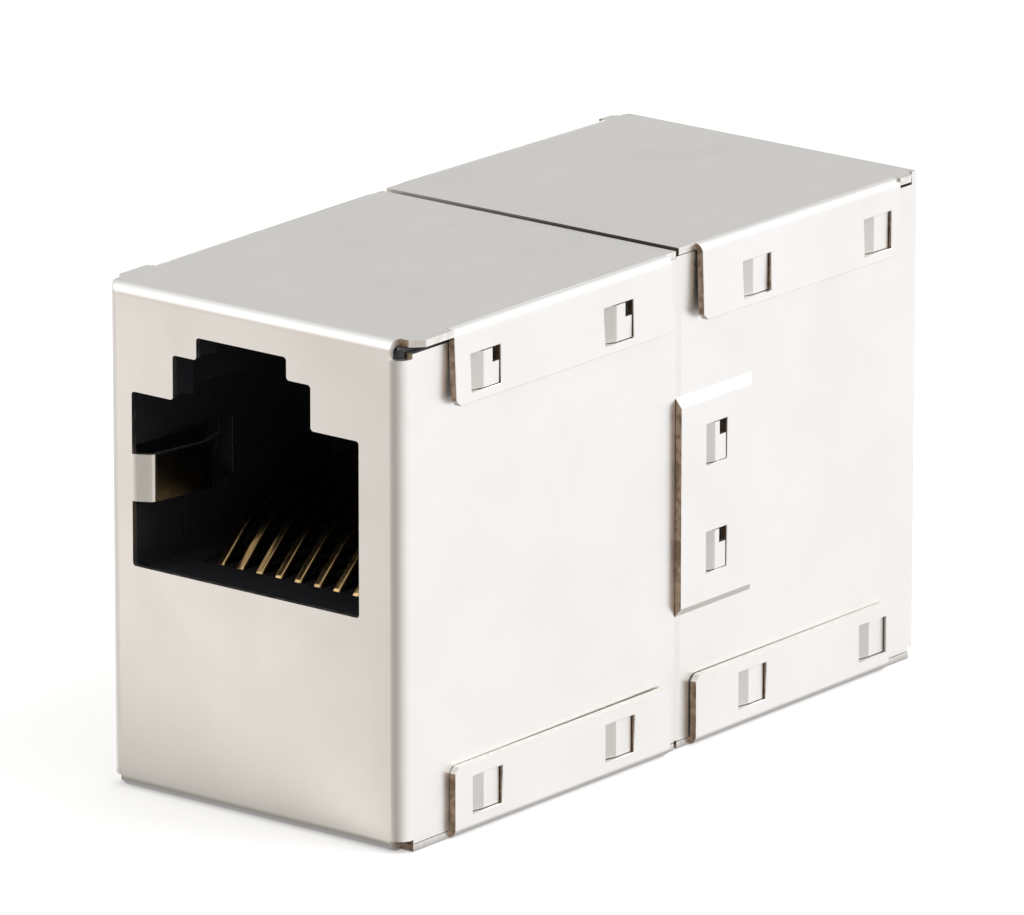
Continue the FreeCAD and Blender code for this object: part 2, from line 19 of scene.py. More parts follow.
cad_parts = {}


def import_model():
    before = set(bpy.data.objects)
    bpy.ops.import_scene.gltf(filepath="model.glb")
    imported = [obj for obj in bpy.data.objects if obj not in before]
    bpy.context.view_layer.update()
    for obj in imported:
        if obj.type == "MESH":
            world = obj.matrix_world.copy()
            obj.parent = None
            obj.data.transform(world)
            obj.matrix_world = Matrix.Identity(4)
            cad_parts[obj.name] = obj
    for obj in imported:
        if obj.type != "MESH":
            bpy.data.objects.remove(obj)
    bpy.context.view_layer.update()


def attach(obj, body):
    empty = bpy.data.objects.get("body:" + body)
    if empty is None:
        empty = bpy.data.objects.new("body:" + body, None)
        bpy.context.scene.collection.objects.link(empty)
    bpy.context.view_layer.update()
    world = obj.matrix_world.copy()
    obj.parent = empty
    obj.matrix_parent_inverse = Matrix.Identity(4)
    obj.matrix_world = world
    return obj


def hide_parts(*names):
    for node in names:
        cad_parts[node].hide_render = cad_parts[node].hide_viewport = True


LOG = logging.getLogger("coupler")
MM = 0.001
HALF_TURN = 180.0                # in degrees

# What a rounded corner keeps to. Lengths are in millimetres and turns in degrees.
ROUND_SLOT = 7                   # holds its faces while a part is made
LARGEST_TURN = 70.0              # between a new face and the surface that it rounds
LARGEST_STEP = 0.8               # distance between the two, as a share of the radius
SMALLEST_FACE = 1e-7             # in square millimetres
WELD = 0.0005                    # corners nearer to each other than this are one
LEAST_EDGE = 0.002               # shorter edges are closed up
SKIN = 0.002                     # depth under a face at which a ray sets out

Colour = tuple[float, float, float]
Point = tuple[float, float, float]
WHITE: Colour = (1.0, 1.0, 1.0)


class Axis(Enum):
    """Direction in which a finish is drawn out."""

    ACROSS = (0.06, 1.0, 1.0)
    ALONG = (1.0, 0.06, 1.0)
    NONE = (1.0, 1.0, 1.0)


class End(Enum):
    """The two halves of the coupler."""

    FRONT = "front"
    REAR = "rear"


class Slot(IntEnum):
    """Material slots of a part stamped from sheet, in the order of its finishes."""

    PLATE = 0
    # The dark and the light cut-edge slots hold copies of one finish, given by facing: painted
    # shade and painted light.
    SHADED_CUT = 1
    LIT_CUT = 2
    # Darker plate on the lances' ramps: painted shade of their recesses.
    SHADED_RAMP = 3
    POLISHED = 4
    # The lid's edge at the seam, darkened along X as painted shade of the gap under it.
    SEAM = 5


CUT_SLOTS = (Slot.SHADED_CUT, Slot.LIT_CUT, Slot.SEAM)


# ---------------------------------------------------------------------------
# Node graphs
# ---------------------------------------------------------------------------


class Graph:
    """Builder for the node tree of one material or world."""

    def __init__(self, tree: bpy.types.NodeTree) -> None:
        """Empties the tree and adds the node that gives coordinates.

        Args:
            tree: The node tree to fill.
        """
        self.tree = tree
        self.tree.nodes.clear()
        self.place = self.node("ShaderNodeTexCoord")

    def node(self, kind: str, **settings: object) -> bpy.types.Node:
        """Adds a node.

        Args:
            kind: Blender's name for the node type.
            **settings: Attributes to set on it.

        Returns:
            The new node.
        """
        made = self.tree.nodes.new(kind)
        for name, value in settings.items():
            setattr(made, name, value)
        return made

    def feed(self, socket: bpy.types.NodeSocket, value: object) -> None:
        """Sets an input to a value, or joins it to another node's output.

        Args:
            socket: The input.
            value: A number, a colour, a vector or an output socket.
        """
        if isinstance(value, bpy.types.NodeSocket):
            self.tree.links.new(value, socket)
        elif socket.type == "RGBA" and len(value) == 3:
            socket.default_value = (*value, 1.0)
        else:
            socket.default_value = value

    def apart(self, vector: bpy.types.NodeSocket) -> bpy.types.bpy_prop_collection:
        """Takes a vector apart.

        Args:
            vector: A vector output.

        Returns:
            The value outputs X, Y and Z.
        """
        made = self.node("ShaderNodeSeparateXYZ")
        self.feed(made.inputs[0], vector)
        return made.outputs

    def stretched(self, drawn: Axis, offset: Point = (0.0, 0.0, 0.0)) -> bpy.types.NodeSocket:
        """The object's coordinates, drawn out along one axis.

        Args:
            drawn: The axis of the streaks.
            offset: Shift in metres, so that two patterns differ.

        Returns:
            A vector output.
        """
        mapping = self.node("ShaderNodeMapping")
        mapping.inputs["Scale"].default_value = drawn.value
        mapping.inputs["Location"].default_value = offset
        self.feed(mapping.inputs["Vector"], self.place.outputs["Object"])
        return mapping.outputs["Vector"]

    def noise(self, size: float, detail: float = 3.0, drawn: Axis = Axis.NONE,
              offset: Point = (0.0, 0.0, 0.0), distortion: float = 0.0) -> bpy.types.NodeSocket:
        """Cloudy noise from 0 to 1.

        Args:
            size: Width of one cloud in millimetres.
            detail: Octaves of finer noise on it.
            drawn: The axis it is drawn out along.
            offset: Shift in metres.
            distortion: How far its edges are swirled.

        Returns:
            A value output.
        """
        made = self.node("ShaderNodeTexNoise", noise_dimensions="3D")
        made.inputs["Scale"].default_value = 1.0 / (size * MM)
        made.inputs["Detail"].default_value = detail
        made.inputs["Distortion"].default_value = distortion
        self.feed(made.inputs["Vector"], self.stretched(drawn, offset))
        return made.outputs["Fac"]

    def span(self, value: bpy.types.NodeSocket, source: tuple[float, float],
             target: tuple[float, float] = (0.0, 1.0), smooth: bool = True) -> bpy.types.NodeSocket:
        """Maps a value from one range to another, and holds it there.

        Args:
            value: The value to map.
            source: The range that it comes in.
            target: The range that it leaves in.
            smooth: Whether it eases in and out.

        Returns:
            A value output.
        """
        made = self.node("ShaderNodeMapRange",
                         interpolation_type="SMOOTHSTEP" if smooth else "LINEAR")
        self.feed(made.inputs["Value"], value)
        for name, number in (("From Min", source[0]), ("From Max", source[1]),
                             ("To Min", target[0]), ("To Max", target[1])):
            made.inputs[name].default_value = number
        return made.outputs["Result"]

    def maths(self, operation: str, first: object, second: object = 0.0) -> bpy.types.NodeSocket:
        """One arithmetic step.

        Args:
            operation: Blender's name for it.
            first: A number or a value output.
            second: The same.

        Returns:
            A value output.
        """
        made = self.node("ShaderNodeMath", operation=operation)
        self.feed(made.inputs[0], first)
        self.feed(made.inputs[1], second)
        return made.outputs["Value"]

    def mix(self, factor: object, first: object, second: object) -> bpy.types.NodeSocket:
        """Mixes two colours.

        Args:
            factor: Share of the second.
            first: A colour or colour output.
            second: The same.

        Returns:
            A colour output.
        """
        made = self.node("ShaderNodeMix", data_type="RGBA")
        self.feed(made.inputs["Factor"], factor)
        colours = [socket for socket in made.inputs if socket.type == "RGBA"]
        self.feed(colours[0], first)
        self.feed(colours[1], second)
        return next(socket for socket in made.outputs if socket.type == "RGBA")

    def bump(self, height: bpy.types.NodeSocket, depth: float, strength: float,
             under: bpy.types.NodeSocket | None = None) -> bpy.types.NodeSocket:
        """A normal from a height pattern.

        Args:
            height: Pattern from 0 to 1.
            depth: Height of the pattern in millimetres.
            strength: Share of it that shows.
            under: A normal that this one lies on.

        Returns:
            A normal output.
        """
        made = self.node("ShaderNodeBump")
        made.inputs["Strength"].default_value = strength
        made.inputs["Distance"].default_value = depth * MM
        self.feed(made.inputs["Height"], height)
        if under is not None:
            self.feed(made.inputs["Normal"], under)
        return made.outputs["Normal"]

    def mix_shaders(self, factor: bpy.types.NodeSocket, first: bpy.types.NodeSocket,
                    second: bpy.types.NodeSocket) -> bpy.types.NodeSocket:
        """Mixes two shaders.

        Args:
            factor: Share of the second.
            first: A shader output.
            second: The same.

        Returns:
            A shader output.
        """
        made = self.node("ShaderNodeMixShader")
        for socket, value in zip(made.inputs, (factor, first, second)):
            self.feed(socket, value)
        return made.outputs[0]

    def surface(self, **inputs: object) -> bpy.types.Node:
        """Adds the principled shader and joins it to the output.

        Args:
            **inputs: Its inputs by name, with underscores for spaces.

        Returns:
            The shader.
        """
        shader = self.node("ShaderNodeBsdfPrincipled")
        for name, value in inputs.items():
            self.feed(shader.inputs[name.replace("_", " ")], value)
        output = self.node("ShaderNodeOutputMaterial")
        self.tree.links.new(shader.outputs["BSDF"], output.inputs["Surface"])
        return shader


def new_material(name: str) -> tuple[bpy.types.Material, Graph]:
    """Makes a material with an empty node graph.

    Args:
        name: The material's name.

    Returns:
        The material and the builder of its graph.
    """
    material = bpy.data.materials.new(name)
    material.use_nodes = True
    return material, Graph(material.node_tree)


# ---------------------------------------------------------------------------
# Finishes
# ---------------------------------------------------------------------------


@dataclass(frozen=True)
class NickelPlate:
    """Satin nickel plate on cold-rolled sheet: clouded, with a faint rolling grain."""

    name: str = "satin_nickel_plate"
    plate: Colour = (0.87, 0.86, 0.845)
    cloud: Colour = (0.85, 0.835, 0.81)
    stain: Colour = (0.80, 0.775, 0.735)
    roughness: tuple[float, float] = (0.33, 0.39)
    cloud_size: float = 4.5
    stain_size: float = 9.0
    grain_size: float = 0.22
    grain_depth: float = 0.0004
    wave_size: float = 7.0
    wave_depth: float = 0.02
    stain_share: float = 0.35
    grain_share: float = 0.4

    def material(self) -> bpy.types.Material:
        """Builds the finish.

        Returns:
            The new material.
        """
        material, graph = new_material(self.name)
        clouds = graph.noise(self.cloud_size, detail=4.0, distortion=0.3)
        stains = graph.span(graph.noise(self.stain_size, detail=5.0, offset=(0.03, 0.01, 0.02)),
                            (0.55, 0.78))
        grain = graph.noise(self.grain_size, detail=2.0, drawn=Axis.ALONG)
        cross_grain = graph.noise(self.grain_size, detail=2.0, drawn=Axis.ACROSS)
        waves = graph.noise(self.wave_size, detail=1.0, offset=(0.011, 0.007, 0.019))
        colour = graph.mix(graph.span(clouds, (0.35, 0.7)), self.plate, self.cloud)
        colour = graph.mix(graph.maths("MULTIPLY", stains, self.stain_share), colour, self.stain)
        mottle = graph.maths("ADD", graph.maths("MULTIPLY", clouds, 1.0 - self.grain_share),
                             graph.maths("MULTIPLY", grain, self.grain_share))
        rough = graph.span(mottle, (0.3, 0.7), self.roughness)
        normal = graph.bump(waves, self.wave_depth, strength=0.3)
        normal = graph.bump(graph.maths("ADD", grain, cross_grain), self.grain_depth,
                            strength=0.25, under=normal)
        graph.surface(Base_Color=colour, Metallic=1.0, Roughness=rough, Normal=normal)
        return material


@dataclass(frozen=True)
class ShearedSteel:
    """Bare brownish edge that the press leaves on the sheet, ragged along its length. The shield
    uses a dark copy and a light copy of it, picked by the way each edge faces: painted shade and
    painted light.
    """

    name: str = "shaded_sheared_steel_edge"
    bright: Colour = (0.56, 0.425, 0.325)
    dark: Colour = (0.32, 0.23, 0.165)
    roughness: tuple[float, float] = (0.38, 0.6)
    tear_size: float = 0.35
    tear_depth: float = 0.02

    def material(self) -> bpy.types.Material:
        """Builds the finish.

        Returns:
            The new material.
        """
        material, graph = new_material(self.name)
        tears = graph.noise(self.tear_size, detail=4.0, distortion=0.4)
        colour = graph.mix(graph.span(tears, (0.35, 0.68)), self.bright, self.dark)
        graph.surface(Base_Color=colour, Metallic=1.0,
                      Roughness=graph.span(tears, (0.3, 0.7), self.roughness),
                      Normal=graph.bump(tears, self.tear_depth, strength=0.5))
        return material


@dataclass(frozen=True)
class SeamEdge:
    """Edge of the lid at the seam, darkened towards +X, where the gap under it is widest: painted
    shade of that gap.
    """

    name: str = "gap_shaded_seam_edge"
    unshaded: Colour = (0.78, 0.77, 0.74)
    # Painted shade of the seam's gap, which takes over towards +X.
    gap_shade: Colour = (0.20, 0.185, 0.15)
    ends: tuple[float, float] = (-8.5, 7.0)
    patch_size: float = 1.1
    patch_reach: float = 3.0
    roughness: float = 0.5

    def material(self) -> bpy.types.Material:
        """Builds the finish.

        Returns:
            The new material.
        """
        material, graph = new_material(self.name)
        patches = graph.maths("MULTIPLY", graph.noise(self.patch_size, detail=3.0),
                              self.patch_reach * MM)
        across = graph.maths("ADD", graph.apart(graph.place.outputs["Object"])["X"], patches)
        colour = graph.mix(graph.span(across, (self.ends[0] * MM, self.ends[1] * MM)),
                           self.unshaded, self.gap_shade)
        graph.surface(Base_Color=colour, Metallic=1.0, Roughness=self.roughness)
        return material


@dataclass(frozen=True)
class MouldedPlastic:
    """Glossy filled plastic, with flow clouds and a fine orange peel."""

    name: str
    colour: Colour = (0.022, 0.023, 0.027)
    dust: Colour = (0.04, 0.04, 0.04)
    roughness: tuple[float, float] = (0.2, 0.34)
    peel_size: float = 0.16
    peel_depth: float = 0.006
    flow_size: float = 3.0
    dust_size: float = 0.5
    dust_share: float = 0.25

    def material(self) -> bpy.types.Material:
        """Builds the finish.

        Returns:
            The new material.
        """
        material, graph = new_material(self.name)
        flow = graph.noise(self.flow_size, detail=4.0, distortion=0.8)
        peel = graph.noise(self.peel_size, detail=2.0)
        dust = graph.span(graph.noise(self.dust_size, detail=5.0, offset=(0.01, 0.02, 0.03)),
                          (0.6, 0.8))
        colour = graph.mix(graph.maths("MULTIPLY", dust, self.dust_share), self.colour, self.dust)
        graph.surface(Base_Color=colour, Roughness=graph.span(flow, (0.3, 0.7), self.roughness),
                      Normal=graph.bump(peel, self.peel_depth, strength=0.3))
        return material


@dataclass(frozen=True)
class GoldPlate:
    """Thin gilt on a drawn copper-alloy spring, streaked along its run. Both of its colours are
    kept well below the gilt's own: painted shade of the dim cavity inside the jack.
    """

    name: str = "gold_plated_spring"
    # Darkened below the gilt's own colour: painted shade of the jack's cavity.
    shaded_gold: Colour = (0.46, 0.32, 0.155)
    worn: Colour = (0.28, 0.19, 0.09)
    roughness: tuple[float, float] = (0.10, 0.17)
    streak_size: float = 0.12
    streak_depth: float = 0.0015
    wear_size: float = 1.2

    def material(self) -> bpy.types.Material:
        """Builds the finish.

        Returns:
            The new material.
        """
        material, graph = new_material(self.name)
        streaks = graph.noise(self.streak_size, detail=3.0, drawn=Axis.ALONG)
        wear = graph.span(graph.noise(self.wear_size, detail=4.0), (0.45, 0.75))
        graph.surface(Base_Color=graph.mix(wear, self.shaded_gold, self.worn), Metallic=1.0,
                      Roughness=graph.span(streaks, (0.3, 0.7), self.roughness),
                      Normal=graph.bump(streaks, self.streak_depth, strength=0.2))
        return material


@dataclass(frozen=True)
class BoardLaminate:
    """Green solder mask over woven glass."""

    name: str = "green_board_laminate"
    mask: Colour = (0.015, 0.13, 0.06)
    bare: Colour = (0.03, 0.20, 0.10)
    roughness: tuple[float, float] = (0.28, 0.42)
    weave_size: float = 0.45
    weave_depth: float = 0.01
    cloud_size: float = 2.5

    def material(self) -> bpy.types.Material:
        """Builds the finish.

        Returns:
            The new material.
        """
        material, graph = new_material(self.name)
        wave_along = graph.node("ShaderNodeTexWave", bands_direction="X")
        wave_across = graph.node("ShaderNodeTexWave", bands_direction="Y")
        for wave in (wave_along, wave_across):
            wave.inputs["Scale"].default_value = 1.0 / (self.weave_size * MM * 2 * math.pi) * 2
            graph.feed(wave.inputs["Vector"], graph.place.outputs["Object"])
        weave = graph.maths("MULTIPLY", wave_along.outputs["Fac"], wave_across.outputs["Fac"])
        clouds = graph.noise(self.cloud_size, detail=3.0)
        colour = graph.mix(graph.span(clouds, (0.3, 0.7)), self.mask, self.bare)
        graph.surface(Base_Color=colour, Roughness=graph.span(clouds, (0.2, 0.8), self.roughness),
                      Normal=graph.bump(weave, self.weave_depth, strength=0.25))
        return material


# ---------------------------------------------------------------------------
# Meshes
# ---------------------------------------------------------------------------


def joined_runs(edges: Iterable[bmesh.types.BMEdge]) -> list[list[bmesh.types.BMEdge]]:
    """Sorts edges into runs that share no corner.

    Args:
        edges: The edges.

    Returns:
        The runs, in the order of their first edges.
    """
    waiting = dict.fromkeys(edges)
    runs = []
    while waiting:
        first = next(iter(waiting))
        del waiting[first]
        run, reached = [first], [first]
        while reached:
            for corner in reached.pop().verts:
                for edge in corner.link_edges:
                    if edge in waiting:
                        del waiting[edge]
                        run.append(edge)
                        reached.append(edge)
        runs.append(run)
    return runs


def split_many_sided(shape: bmesh.types.BMesh) -> None:
    """Splits every face of more than four sides into triangles."""
    many_sided = [face for face in shape.faces if len(face.verts) > 4]
    bmesh.ops.triangulate(shape, faces=many_sided, ngon_method="BEAUTY")


def sound(trial: bmesh.types.BMesh, before: BVHTree, radius: float) -> bool:
    """Whether the new faces of a rounded surface lie close along the old one.

    Args:
        trial: The rounded surface, with its new faces in the round slot.
        before: The surface before any rounding.
        radius: The radius in millimetres.

    Returns:
        True where no face is folded, stray or empty.
    """
    if any(len(edge.link_faces) != 2 for edge in trial.edges):
        return False
    for face in trial.faces:
        if face.material_index == ROUND_SLOT:
            _, normal, _, distance = before.find_nearest(face.calc_center_median())
            turned = normal.angle(face.normal, 0.0) > math.radians(LARGEST_TURN)
            strayed = distance > radius * LARGEST_STEP
            if turned or strayed or face.calc_area() < SMALLEST_FACE:
                return False
    return True


@dataclass
class EasedPart:
    """A stamped or moulded part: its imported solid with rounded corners.

    Attributes:
        node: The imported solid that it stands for.
        piece: Name of the new piece.
        edge_radius: Radius on its sharp corners, in millimetres.
        edge_steps: Facets around that radius.
        sharp_turn: Turn between two faces, in degrees, past which their corner is sharp.
        flat_turn: Turn between two facets, in degrees, below which they are one face.
        crease_turn: Turn between two faces, in degrees, past which their shading breaks.
    """

    node: str
    piece: str
    edge_radius: float = 0.04
    edge_steps: int = 2
    sharp_turn: float = 32.0
    flat_turn: float = 0.6
    crease_turn: float = 14.0

    def outline(self) -> bmesh.types.BMesh:
        """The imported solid's surface, with one face for each flat stretch.

        Returns:
            The surface in millimetres.
        """
        shape = bmesh.new()
        shape.from_mesh(bpy.data.objects[self.node].data)
        bmesh.ops.scale(shape, vec=(1 / MM, 1 / MM, 1 / MM), verts=shape.verts)
        bmesh.ops.remove_doubles(shape, verts=shape.verts, dist=WELD)
        shape.normal_update()
        self.slots(shape)
        bmesh.ops.dissolve_limit(shape, angle_limit=math.radians(self.flat_turn),
                                 verts=shape.verts, edges=shape.edges, delimit={"MATERIAL"})
        shape.normal_update()
        return shape

    def slots(self, shape: bmesh.types.BMesh) -> None:
        """Gives each face its material slot. A part of one finish keeps them all at 0.

        Args:
            shape: The part's surface in millimetres.
        """

    def sharp_edges(self, shape: bmesh.types.BMesh) -> list[bmesh.types.BMEdge]:
        """The edges to round off."""
        return [edge for edge in shape.edges
                if edge.calc_face_angle(0.0) > math.radians(self.sharp_turn)]

    def ease(self, shape: bmesh.types.BMesh) -> None:
        """Rounds off each joined run of sharp edges, as far as its neighbours leave room.

        Args:
            shape: The part's surface in millimetres.
        """
        before = BVHTree.FromBMesh(shape)
        for run in joined_runs(self.sharp_edges(shape)):
            for radius in (self.edge_radius, self.edge_radius / 2):
                shape.edges.index_update()
                trial = shape.copy()
                trial.edges.ensure_lookup_table()
                self.round_off(trial, [trial.edges[edge.index] for edge in run], radius)
                stays_sound = sound(trial, before, radius)
                trial.free()
                if stays_sound:
                    self.round_off(shape, run, radius)
                    break

    def round_off(self, shape: bmesh.types.BMesh, edges: list[bmesh.types.BMEdge],
                  radius: float) -> None:
        """Rounds off some edges, and puts the new faces in the round slot.

        Args:
            shape: The surface that they belong to.
            edges: The edges.
            radius: Their new radius in millimetres.
        """
        bmesh.ops.bevel(shape, geom=edges, offset=radius, offset_type="OFFSET",
                        segments=self.edge_steps, profile=0.5, affect="EDGES",
                        clamp_overlap=False, material=ROUND_SLOT, miter_outer="PATCH")
        shape.normal_update()

    def even_normal(self, corner: bmesh.types.BMLoop,
                    area: bmesh.types.BMLayerItem) -> Vector:
        """The normal of one corner of a face, which the widest face around it settles.

        Args:
            corner: The corner.
            area: Layer that holds the area of each face's whole flat stretch.

        Returns:
            The normal.
        """
        face = corner.face
        crease = math.radians(self.crease_turn)
        total = Vector()
        for loop in corner.vert.link_loops:
            other = loop.face
            rounded = ROUND_SLOT in (face.material_index, other.material_index)
            if rounded or other == face or other.normal.angle(face.normal, 0.0) < crease:
                total += other.normal * other[area] ** 2 * loop.calc_angle()
        return total.normalized() if total.length > 0 else face.normal.copy()

    def build(self) -> bpy.types.Object:
        """Makes the piece and hides the solid that it stands for.

        Returns:
            The new piece.
        """
        shape = self.outline()
        self.ease(shape)
        shape.normal_update()
        area = shape.faces.layers.float.new("area")
        for face in shape.faces:
            face[area] = face.calc_area()
            face.smooth = True
        split_many_sided(shape)
        bmesh.ops.dissolve_degenerate(shape, dist=LEAST_EDGE, edges=shape.edges)
        split_many_sided(shape)
        shape.normal_update()
        normals = [self.even_normal(corner, area) for face in shape.faces for corner in face.loops]
        shape.faces.layers.float.remove(area)
        for face in shape.faces:
            if face.material_index == ROUND_SLOT:
                face.material_index = Slot.PLATE
        bmesh.ops.scale(shape, vec=(MM, MM, MM), verts=shape.verts)
        mesh = bpy.data.meshes.new(self.piece)
        shape.to_mesh(mesh)
        shape.free()
        mesh.normals_split_custom_set(normals)
        made = bpy.data.objects.new(self.piece, mesh)
        bpy.context.scene.collection.objects.link(made)
        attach(made, "root")
        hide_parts(self.node)
        return made

    def dressed(self, finishes: Iterable[bpy.types.Material], slot: str) -> bpy.types.Object:
        """Makes the piece and gives it its finishes.

        Args:
            finishes: The finishes, in the order of its material slots.
            slot: Name of the look that they share; not used.

        Returns:
            The new piece.
        """
        made = self.build()
        for finish in finishes:
            made.data.materials.append(finish)
        return made


@dataclass
class StampedPart(EasedPart):
    """A part stamped from sheet, whose cut edges show bare metal.

    Attributes:
        sheet: Thickness of the sheet in millimetres.
        cut_reach: Depth of metal behind a face, in thicknesses, past which it is a cut edge.
        shaded_cut_facing: Share of a cut edge's normal along Y past which it takes the dark edge
            copy (painted shade); below it, it takes the light copy (painted light).
        ramp_facing: Shares along Y between which a face may be the ramp of a lance.
        ramp_tilt: Share along Z below which it may be.
        ramp_area: Area in square millimetres below which it may be.
        seam_end: Distance in millimetres from the middle to the end of the seam's bends.
        bend_start: The same to the start of the upright bends.
        lid_height: Height in millimetres above which a face belongs to the lid.
        spring_reach: Distance in millimetres from the middle plane past which no
            grounding spring stands.
        spring_room: Half the width and length of the room that those springs stand in.
        spring_heights: Heights of that room's floor and ceiling.
    """

    sheet: float = 0.3
    cut_reach: float = 1.25
    shaded_cut_facing: float = 0.8
    ramp_facing: tuple[float, float] = (0.1, 0.6)
    ramp_tilt: float = 0.2
    ramp_area: float = 1.5
    seam_end: float = 1.8
    bend_start: float = 15.8
    lid_height: float = 20.9
    spring_reach: float = 7.35
    spring_room: tuple[float, float] = (7.2, 17.17)
    spring_heights: tuple[float, float] = (3.0, 18.0)

    def slots(self, shape: bmesh.types.BMesh) -> None:
        """Finds the cut edges, the lances' ramps and the grounding springs.

        A face is a cut edge where more metal than the sheet's thickness lies behind it.

        Args:
            shape: The part's surface in millimetres.
        """
        tree = BVHTree.FromBMesh(shape)
        reach = self.sheet * self.cut_reach
        for face in shape.faces:
            start = face.calc_center_median() - face.normal * SKIN
            if tree.ray_cast(start, -face.normal, reach)[0] is None:
                face.material_index = self.cut_slot(face)
            # The lances' ramps take the darker plate, which is painted shade.
            elif self.lanced(face):
                face.material_index = Slot.SHADED_RAMP
            elif self.sprung(face):
                face.material_index = Slot.POLISHED

    def sharp_edges(self, shape: bmesh.types.BMesh) -> list[bmesh.types.BMEdge]:
        """The rims of the cut edges."""
        return [edge for edge in super().sharp_edges(shape)
                if sum(face.material_index in CUT_SLOTS for face in edge.link_faces) == 1]

    def cut_slot(self, face: bmesh.types.BMFace) -> Slot:
        """The slot of a cut edge: the dark bare-steel copy where it faces along the coupler's
        length, which is painted shade, and the light copy elsewhere, which is painted light.

        Args:
            face: A face of the edge.

        Returns:
            Its slot, which is the seam's own on the lid's edge there.
        """
        if abs(face.normal.y) <= self.shaded_cut_facing:
            return Slot.LIT_CUT
        middle = face.calc_center_median()
        at_seam = abs(middle.y) < self.seam_end and middle.z > self.lid_height
        return Slot.SEAM if at_seam else Slot.SHADED_CUT

    def lanced(self, face: bmesh.types.BMFace) -> bool:
        """Whether a face is the ramp of a lance, away from the shell's upright bends.

        Args:
            face: A face on the sheet's broad sides.

        Returns:
            True where it is.
        """
        steep = self.ramp_facing[0] < abs(face.normal.y) < self.ramp_facing[1]
        level = abs(face.normal.z) < self.ramp_tilt
        middle = face.calc_center_median()
        outside = (self.seam_end < abs(middle.y) < self.bend_start
                   and abs(middle.x) > self.spring_reach)
        return steep and level and outside and face.calc_area() < self.ramp_area

    def sprung(self, face: bmesh.types.BMFace) -> bool:
        """Whether a face belongs to a grounding spring, inside the shell.

        Args:
            face: A face on the sheet's broad sides.

        Returns:
            True where it does.
        """
        middle = face.calc_center_median()
        return (abs(middle.x) < self.spring_room[0] and abs(middle.y) < self.spring_room[1]
                and self.spring_heights[0] < middle.z < self.spring_heights[1])


# ---------------------------------------------------------------------------
# Sub-assemblies
# ---------------------------------------------------------------------------


@dataclass
class ShieldCase:
    """The two folded shells, each with its tongue or pocket and its grounding spring."""

    edge_radius: float = 0.05
    plate: NickelPlate = field(default_factory=NickelPlate)
    # Dark and light copies of one cut-edge finish, given by facing: painted shade and painted
    # light.
    shaded_cut: ShearedSteel = field(default_factory=ShearedSteel)
    lit_cut: ShearedSteel = ShearedSteel(
        "lit_cut_steel_edge", bright=(0.86, 0.84, 0.81), dark=(0.76, 0.73, 0.69),
        roughness=(0.3, 0.42))
    # A darker, rougher copy of the plate for the lances' ramps. The rougher surface is the formed
    # plate's own; the darker colour is painted shade of their recesses.
    stretched: NickelPlate = NickelPlate(
        "ramp_shaded_nickel_plate", plate=(0.66, 0.65, 0.63), cloud=(0.62, 0.605, 0.58),
        stain=(0.56, 0.54, 0.50), roughness=(0.46, 0.54))
    polished: NickelPlate = NickelPlate(
        "polished_spring_plate", plate=(0.72, 0.68, 0.63), cloud=(0.68, 0.64, 0.58),
        stain=(0.62, 0.57, 0.50), roughness=(0.12, 0.18))
    seam: SeamEdge = field(default_factory=SeamEdge)

    def build(self) -> list[bpy.types.Object]:
        """Makes and dresses both shells.

        Returns:
            The two pieces.
        """
        finishes = [finish.material() for finish in (self.plate, self.shaded_cut, self.lit_cut,
                                                     self.stretched, self.polished, self.seam)]
        shells = [StampedPart(node=f"{end.value}_shield_shell", piece=f"{end.value}_shield",
                              edge_radius=self.edge_radius) for end in End]
        return [shell.dressed(finishes, "shield_metal") for shell in shells]


@dataclass
class Jacks:
    """The moulded jack housings and the carriers of their contacts."""

    corner_radius: float = 0.07
    housing: MouldedPlastic = MouldedPlastic("black_housing_plastic")
    carrier: MouldedPlastic = MouldedPlastic("black_carrier_plastic", (0.018, 0.018, 0.02))

    def build(self) -> list[bpy.types.Object]:
        """Makes and dresses the housings and carriers.

        Returns:
            The four pieces.
        """
        housing, carrier = self.housing.material(), self.carrier.material()
        pieces = []
        for end in End:
            for what, finish, slot in (("jack_housing", housing, "housing_plastic"),
                                       ("contact_carrier", carrier, "carrier_plastic")):
                node = f"{end.value}_{what}"
                moulding = EasedPart(node=node, piece=f"{node}_moulding",
                                     edge_radius=self.corner_radius)
                pieces.append(moulding.dressed([finish], slot))
        return pieces


@dataclass
class Contacts:
    """Eight gilt springs at each end."""

    count: int = 8
    corner_radius: float = 0.11
    corner_steps: int = 3
    finish: GoldPlate = field(default_factory=GoldPlate)

    def build(self) -> list[bpy.types.Object]:
        """Makes and dresses the springs.

        Returns:
            One piece for each spring.
        """
        shaded_gold = self.finish.material()
        pieces = []
        for end in End:
            for number in range(1, self.count + 1):
                spring = EasedPart(node=f"{end.value}_contact_{number}",
                                   piece=f"{end.value}_spring_{number}",
                                   edge_radius=self.corner_radius, edge_steps=self.corner_steps)
                pieces.append(spring.dressed([shaded_gold], "contact_gold"))
        return pieces


@dataclass
class BoardStack:
    """The circuit board and the tray that carries it."""

    corner_radius: float = 0.06
    laminate: BoardLaminate = field(default_factory=BoardLaminate)
    tray: MouldedPlastic = MouldedPlastic("black_tray_plastic", (0.02, 0.02, 0.021),
                                          roughness=(0.4, 0.55))

    def build(self) -> list[bpy.types.Object]:
        """Makes and dresses the board and tray.

        Returns:
            The two pieces.
        """
        pieces = []
        for node, finish, slot in (("circuit_board", self.laminate, "board_laminate"),
                                   ("board_tray", self.tray, "tray_plastic")):
            part = EasedPart(node=node, piece=f"{node}_eased", edge_radius=self.corner_radius)
            pieces.append(part.dressed([finish.material()], slot))
        return pieces


# ---------------------------------------------------------------------------
# Studio
# ---------------------------------------------------------------------------


